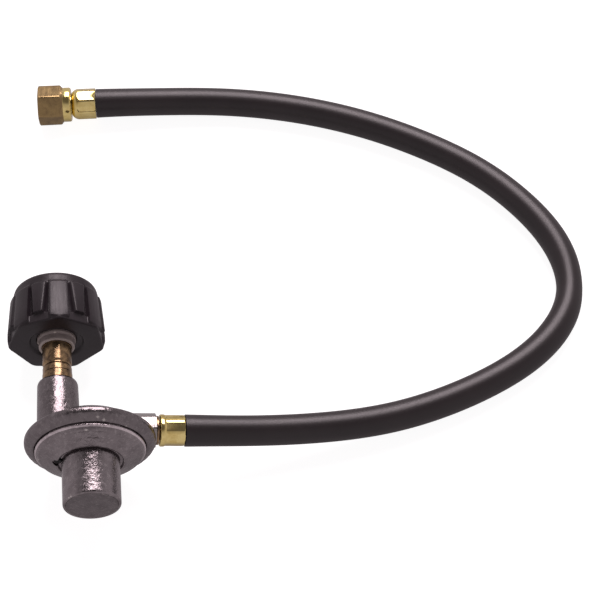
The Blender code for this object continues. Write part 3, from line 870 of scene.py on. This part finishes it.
def make_far_end():
    skirt = [(5.0, 0.05), (8.35, 0.05), (8.45, 0.5), (8.45, 9.2), (8.25, 10.6)]
    nose = [(7.6, 11.9), (6.7, 12.8), (5.7, 13.3), (5.0, 13.3)]
    pressed = crimped(apothem=7.95, start=0.0, end=9.6, turn=radians(40))
    sleeve = turned("far_sleeve", skirt + nose, FAR, 192, cut=0.5, shape=pressed)
    dress(sleeve, "bright_brass", "regulator", "far_ferrule")
    barbs = [(2.8, 0.4), (4.1, 0.4), (4.1, 3.4), (4.7, 3.6), (4.1, 6.4), (4.7, 6.6), (4.7, 13.4)]
    neck = [(5.5, 13.4), (5.5, 20.0), (6.8, 20.0), (6.8, 25.0), (6.3, 25.4), (5.8, 25.4), (2.8, 22.4)]
    stem = turned("far_neck", barbs + neck, FAR, 96, cut=0.2)
    dress(stem, "bright_brass", "regulator", "far_stem")
    spread = [angle for angle, _ in hex_ring()]

    def circle(height, radius):
        return height, [(angle, radius) for angle in spread]

    rings = [
        circle(17.4, 5.9),
        circle(17.4, 9.1),
        (18.3, hex_ring(limit=9.6)),
        (19.3, hex_ring(limit=10.9)),
        (31.0, hex_ring(limit=10.95)),
        (31.5, hex_ring(limit=10.2)),
        circle(31.5, 8.1),
        circle(30.6, 7.2),
        circle(19.7, 7.2),
        circle(19.7, 5.9),
    ]
    nut = lofted("flare_nut", rings, FAR, cut=0.3, across=0.3)
    dress(nut, "nut_brass", "appliance_nut", "swivel_nut")
    band = [(5.9, 13.6), (8.8, 13.6), (9.4, 14.2), (9.4, 17.9), (5.9, 17.9)]
    collar = turned("flare_collar", band, FAR, 144, cut=0.3)
    dress(collar, "bright_brass", "appliance_nut")
    ridge = thread("flare_nut_thread", 7.25, FLARE_PITCH, 20.6, 30.2, 0.45, FAR, steps=48)
    dress(ridge, "nut_brass", "appliance_nut")
    return sleeve, stem, nut, collar


# Pieces inside, which keep their CAD shape
INNER = {
    "steel": [
        "adjusting_screw",
        "spring_button",
        "main_spring",
        "diaphragm_plate",
        "stem_nut",
        "lever",
        "lever_pin",
        "flow_limiter_ball",
        "flow_limiter_spring",
    ],
    "sheet_rubber": ["diaphragm", "valve_disc"],
    "brass": ["diaphragm_stem", "orifice_seat", "flow_limiter_retainer"],
    "screen": ["vent_screen"],
}


def finish_inner_pieces():
    for look, nodes in INNER.items():
        for name in nodes:
            node = frame["nodes"][name]
            node.data.materials.clear()
            node.data.materials.append(LOOKS[look])


# Surroundings
def make_floor():
    mesh = bpy.data.meshes.new("floor")
    corners = [(x * FLOOR_SIZE, y * FLOOR_SIZE, 0) for x, y in ((-1, -1), (1, -1), (1, 1), (-1, 1))]
    mesh.from_pydata(corners, [], [(0, 1, 2, 3)])
    floor = bpy.data.objects.new("floor", mesh)
    bpy.context.scene.collection.objects.link(floor)
    floor.location.z = min(0.0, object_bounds()[0].z) - 0.0002
    paper = Look("pale_floor", metallic=0.0, specular=0.1)
    paper.colour(paper.ramp(paper.noise(3, 2), (0.3, (0.34, 0.34, 0.34)), (0.7, (0.36, 0.36, 0.36))))
    paper.shader.inputs["Roughness"].default_value = 0.9
    paper.shader.inputs["Emission Color"].default_value = (1, 1, 1, 1)
    paper.shader.inputs["Emission Strength"].default_value = FLOOR_GLOW
    mesh.materials.append(paper.material)
    floor.visible_glossy = floor.visible_diffuse = False


def softbox(name, way, distance, width, height, power, colour):
    light = bpy.data.lights.new(name, "AREA")
    light.shape = "RECTANGLE"
    light.size, light.size_y = width, height
    light.energy = power
    light.color = colour
    lamp = bpy.data.objects.new(name, light)
    bpy.context.scene.collection.objects.link(lamp)
    way = Vector(way).normalized()
    lamp.location = TARGET + way * distance
    lamp.rotation_euler = way.to_track_quat("Z", "Y").to_euler()


def make_camera():
    lift, yaw = radians(VIEW_ELEVATION), radians(VIEW_YAW)
    way = Vector((-sin(yaw) * cos(lift), -cos(yaw) * cos(lift), sin(lift)))
    camera = bpy.data.objects.new("camera", bpy.data.cameras.new("camera"))
    camera.data.lens = LENS
    camera.data.sensor_width = SENSOR
    camera.location = TARGET + way * VIEW_DISTANCE
    camera.rotation_euler = (-way).to_track_quat("-Z", "Y").to_euler()
    bpy.context.scene.collection.objects.link(camera)
    bpy.context.scene.camera = camera


def make_surroundings():
    make_floor()
    softbox(
        "back_light",
        way=(0.12, 0.63, 0.79),
        distance=3.0,
        width=1.9,
        height=1.95,
        power=84,
        colour=(1.0, 0.87, 0.91),
    )
    world = bpy.data.worlds.new("studio")
    world.use_nodes = True
    nodes, links = world.node_tree.nodes, world.node_tree.links
    height = nodes.new("ShaderNodeSeparateXYZ")
    links.new(nodes.new("ShaderNodeTexCoord").outputs["Generated"], height.inputs[0])
    share = nodes.new("ShaderNodeMapRange")
    share.inputs["From Min"].default_value = -1
    links.new(height.outputs["Z"], share.inputs["Value"])
    sky = nodes.new("ShaderNodeValToRGB")
    for i, (z, grey) in enumerate(SKY):
        element = sky.color_ramp.elements[i] if i < 2 else sky.color_ramp.elements.new(z / 2 + 0.5)
        element.position = z / 2 + 0.5
        element.color = (*(grey * tint for tint in SKY_TINT), 1)
    links.new(share.outputs["Result"], sky.inputs["Fac"])
    background = nodes.get("Background") or nodes.new("ShaderNodeBackground")
    links.new(sky.outputs["Color"], background.inputs["Color"])
    bpy.context.scene.world = world
    bpy.context.scene.view_settings.view_transform = "Standard"


make_camera()
hose = make_hose()
far_pieces = make_far_end()
make_casting()
make_cover()
make_nipple()
make_bushing()
make_hand_nut()
make_outlet()
finish_inner_pieces()
make_surroundings()

bpy.context.view_layer.update()
